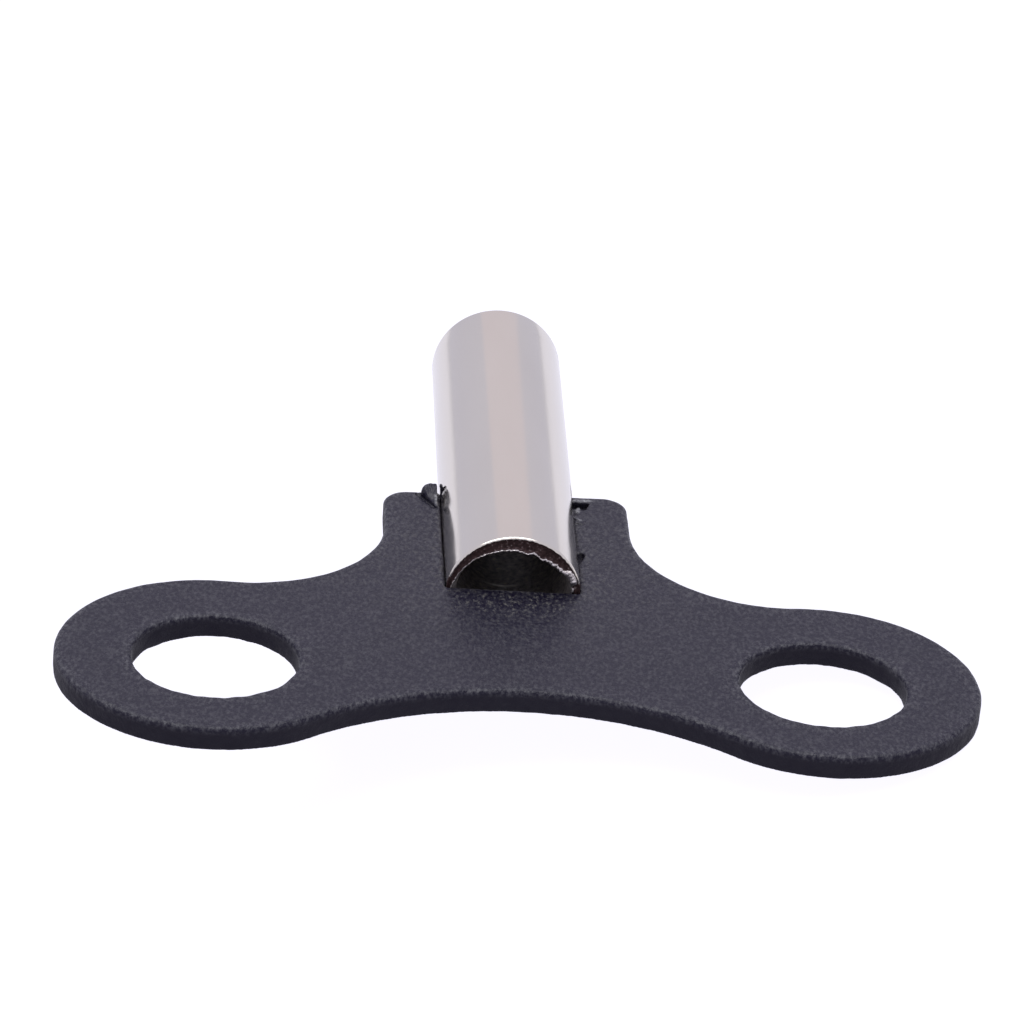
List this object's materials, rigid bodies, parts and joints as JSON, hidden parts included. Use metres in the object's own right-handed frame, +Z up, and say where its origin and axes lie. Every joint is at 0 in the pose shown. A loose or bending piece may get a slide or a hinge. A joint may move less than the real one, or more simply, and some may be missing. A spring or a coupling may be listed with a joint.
{
  "type": "radiator bleed key",
  "caption": "Butterfly key for radiator air vents: a flat black handle with finger holes, its fork gripping a bright plated tube that ends in a square socket.",
  "frame": {"origin": "on the ground under the middle of the key, at z = 0 where the tube and the right lobe touch", "axes": "+Y along the tube, from the handle towards the square socket; +X to the right across the lobes; +Z up from the ground. The handle is rolled 7.42 degrees about Y, right lobe down, as the key lies"},
  "size_m": [0.0582, 0.0562, 0.009],
  "materials": {
    "black_powder_coat": "fine textured black powder coat",
    "nickel_plating": "bright nickel plating on steel"
  },
  "bodies": {
    "root": {"handle_plate": "black_powder_coat", "socket_tube": "nickel_plating"}
  },
  "joints": []
}
